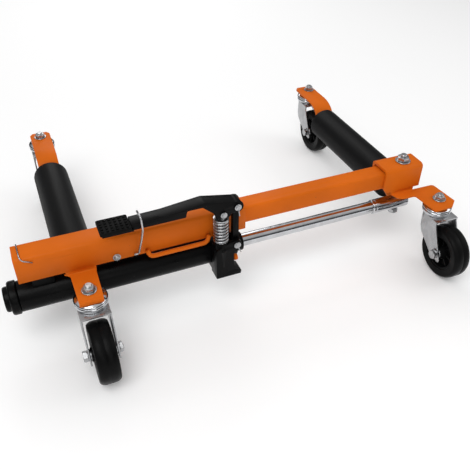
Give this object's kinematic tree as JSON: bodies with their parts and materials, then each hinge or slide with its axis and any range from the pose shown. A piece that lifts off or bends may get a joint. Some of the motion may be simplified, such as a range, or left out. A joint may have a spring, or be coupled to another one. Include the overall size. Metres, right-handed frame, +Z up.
{
  "type": "wheel dolly",
  "caption": "Foot-pumped hydraulic wheel dolly: telescoping orange frame, black rollers, ram, pedal pump and swivel casters that lift and roll a vehicle wheel.",
  "frame": {"origin": "on the ground at the centre of the dolly's bounding box, open to full width", "axes": "+X along the telescoping frame towards the sliding corner, +Y from the frame along the rollers to the rear casters, +Z up"},
  "size_m": [0.796, 0.6244, 0.2381],
  "materials": {
    "orange_paint": "gloss powder coat",
    "black_paint": "semi-gloss black enamel",
    "roller_black": "satin",
    "pad_rubber": "matt moulded",
    "tyre_rubber": "matt hard rubber",
    "hub_plastic": "moulded",
    "zinc_plate": "bright zinc plate",
    "chrome": "polished",
    "spring_steel": "drawn wire"
  },
  "bodies": {
    "chassis": {"outer_channel": "orange_paint", "loop_handle": "orange_paint", "side_screw": "zinc_plate", "end_clip": "spring_steel", "left_lug": "orange_paint", "left_roller_axle": "zinc_plate", "left_rear_strip": "orange_paint", "cylinder_tube": "black_paint", "cylinder_end_cap": "black_paint", "gland_nut": "black_paint", "cylinder_saddle": "black_paint", "pump_block": "black_paint", "link_pin": "zinc_plate", "front_left_kingpin": "zinc_plate", "front_left_top_cup": "chrome", "rear_left_kingpin": "zinc_plate", "rear_left_top_cup": "chrome"},
    "slider": {"inner_tube": "orange_paint", "corner_bracket": "orange_paint", "corner_bolt": "zinc_plate", "right_lug": "orange_paint", "right_roller_axle": "zinc_plate", "right_rear_strip": "orange_paint", "piston_rod": "chrome", "piston": "zinc_plate", "rod_end_sleeve": "chrome", "front_right_kingpin": "zinc_plate", "front_right_top_cup": "chrome", "rear_right_kingpin": "zinc_plate", "rear_right_top_cup": "chrome"},
    "left_roller": {"left_roller": "roller_black", "left_roller_core": "hub_plastic"},
    "right_roller": {"right_roller": "roller_black", "right_roller_core": "hub_plastic"},
    "front_left_swivel": {"front_left_fork": "zinc_plate", "front_left_axle": "zinc_plate"},
    "front_left_wheel": {"front_left_tyre": "tyre_rubber", "front_left_hub": "hub_plastic"},
    "front_right_swivel": {"front_right_fork": "zinc_plate", "front_right_axle": "zinc_plate"},
    "front_right_wheel": {"front_right_tyre": "tyre_rubber", "front_right_hub": "hub_plastic"},
    "rear_left_swivel": {"rear_left_fork": "zinc_plate", "rear_left_axle": "zinc_plate"},
    "rear_left_wheel": {"rear_left_tyre": "tyre_rubber", "rear_left_hub": "hub_plastic"},
    "rear_right_swivel": {"rear_right_fork": "zinc_plate", "rear_right_axle": "zinc_plate"},
    "rear_right_wheel": {"rear_right_tyre": "tyre_rubber", "rear_right_hub": "hub_plastic"},
    "plunger": {"plunger": "zinc_plate", "return_spring": "spring_steel"},
    "link": {"link_bar": "black_paint", "pivot_pin": "zinc_plate"},
    "pedal": {"pedal_arm": "black_paint", "pedal_pad": "pad_rubber", "plunger_pin": "zinc_plate"},
    "hook": {"pedal_hook": "spring_steel"},
    "valve": {"release_valve": "orange_paint"}
  },
  "joints": [
    {"name": "frame_slide", "type": "slide", "parent": "chassis", "child": "slider", "axis": [-1, 0, 0], "range_m": [0, 0.235]},
    {"name": "left_roller_turn", "type": "hinge", "parent": "chassis", "child": "left_roller", "pos_m": [-0.2755, -0.08775, 0.097], "axis": [0, 1, 0], "continuous": true},
    {"name": "right_roller_turn", "type": "hinge", "parent": "slider", "child": "right_roller", "pos_m": [0.353, -0.08775, 0.097], "axis": [0, 1, 0], "continuous": true},
    {"name": "front_left_swivel_turn", "type": "hinge", "parent": "chassis", "child": "front_left_swivel", "pos_m": [-0.2745, -0.21375, 0.11], "axis": [0, 0, 1], "range_deg": [-100, 100]},
    {"name": "front_left_wheel_roll", "type": "hinge", "parent": "front_left_swivel", "child": "front_left_wheel", "pos_m": [-0.2745, -0.26225, 0.05], "axis": [1, 0, 0], "continuous": true},
    {"name": "front_right_swivel_turn", "type": "hinge", "parent": "slider", "child": "front_right_swivel", "pos_m": [0.367, -0.21275, 0.11], "axis": [0, 0, 1], "range_deg": [-100, 100]},
    {"name": "front_right_wheel_roll", "type": "hinge", "parent": "front_right_swivel", "child": "front_right_wheel", "pos_m": [0.367, -0.26125, 0.05], "axis": [1, 0, 0], "continuous": true},
    {"name": "rear_left_swivel_turn", "type": "hinge", "parent": "chassis", "child": "rear_left_swivel", "pos_m": [-0.2755, 0.28525, 0.11], "axis": [0, 0, 1], "continuous": true},
    {"name": "rear_left_wheel_roll", "type": "hinge", "parent": "rear_left_swivel", "child": "rear_left_wheel", "pos_m": [-0.2755, 0.23675, 0.05], "axis": [1, 0, 0], "continuous": true},
    {"name": "rear_right_swivel_turn", "type": "hinge", "parent": "slider", "child": "rear_right_swivel", "pos_m": [0.363, 0.28525, 0.11], "axis": [0, 0, 1], "continuous": true},
    {"name": "rear_right_wheel_roll", "type": "hinge", "parent": "rear_right_swivel", "child": "rear_right_wheel", "pos_m": [0.363, 0.23675, 0.05], "axis": [1, 0, 0], "continuous": true},
    {"name": "plunger_travel", "type": "slide", "parent": "chassis", "child": "plunger", "axis": [0, 0, 1], "range_m": [0, 0.0082], "deforming": ["return_spring"]},
    {"name": "link_rock", "type": "hinge", "parent": "chassis", "child": "link", "pos_m": [-0.027, -0.18575, 0.136], "axis": [0, 1, 0], "range_deg": [0, 1]},
    {"name": "pedal_hinge", "type": "hinge", "parent": "link", "child": "pedal", "pos_m": [-0.027, -0.18575, 0.2125], "axis": [0, 1, 0], "range_deg": [0, 19]},
    {"name": "hook_swing", "type": "hinge", "parent": "chassis", "child": "hook", "pos_m": [-0.186, -0.17075, 0.146], "axis": [1, 0, 0], "range_deg": [0, 130]},
    {"name": "valve_turn", "type": "hinge", "parent": "chassis", "child": "valve", "pos_m": [-0.032, -0.18875, 0.103], "axis": [1, 0, 0], "range_deg": [0, 180]}
  ],
  "couplings": [
    {"joint": "plunger_travel", "follows": "pedal_hinge", "m_per_rad": 0.024},
    {"joint": "link_rock", "follows": "pedal_hinge", "ratio": 0.034},
    {"joint": "hook_swing", "follows": "pedal_hinge", "ratio": 6.8}
  ]
}
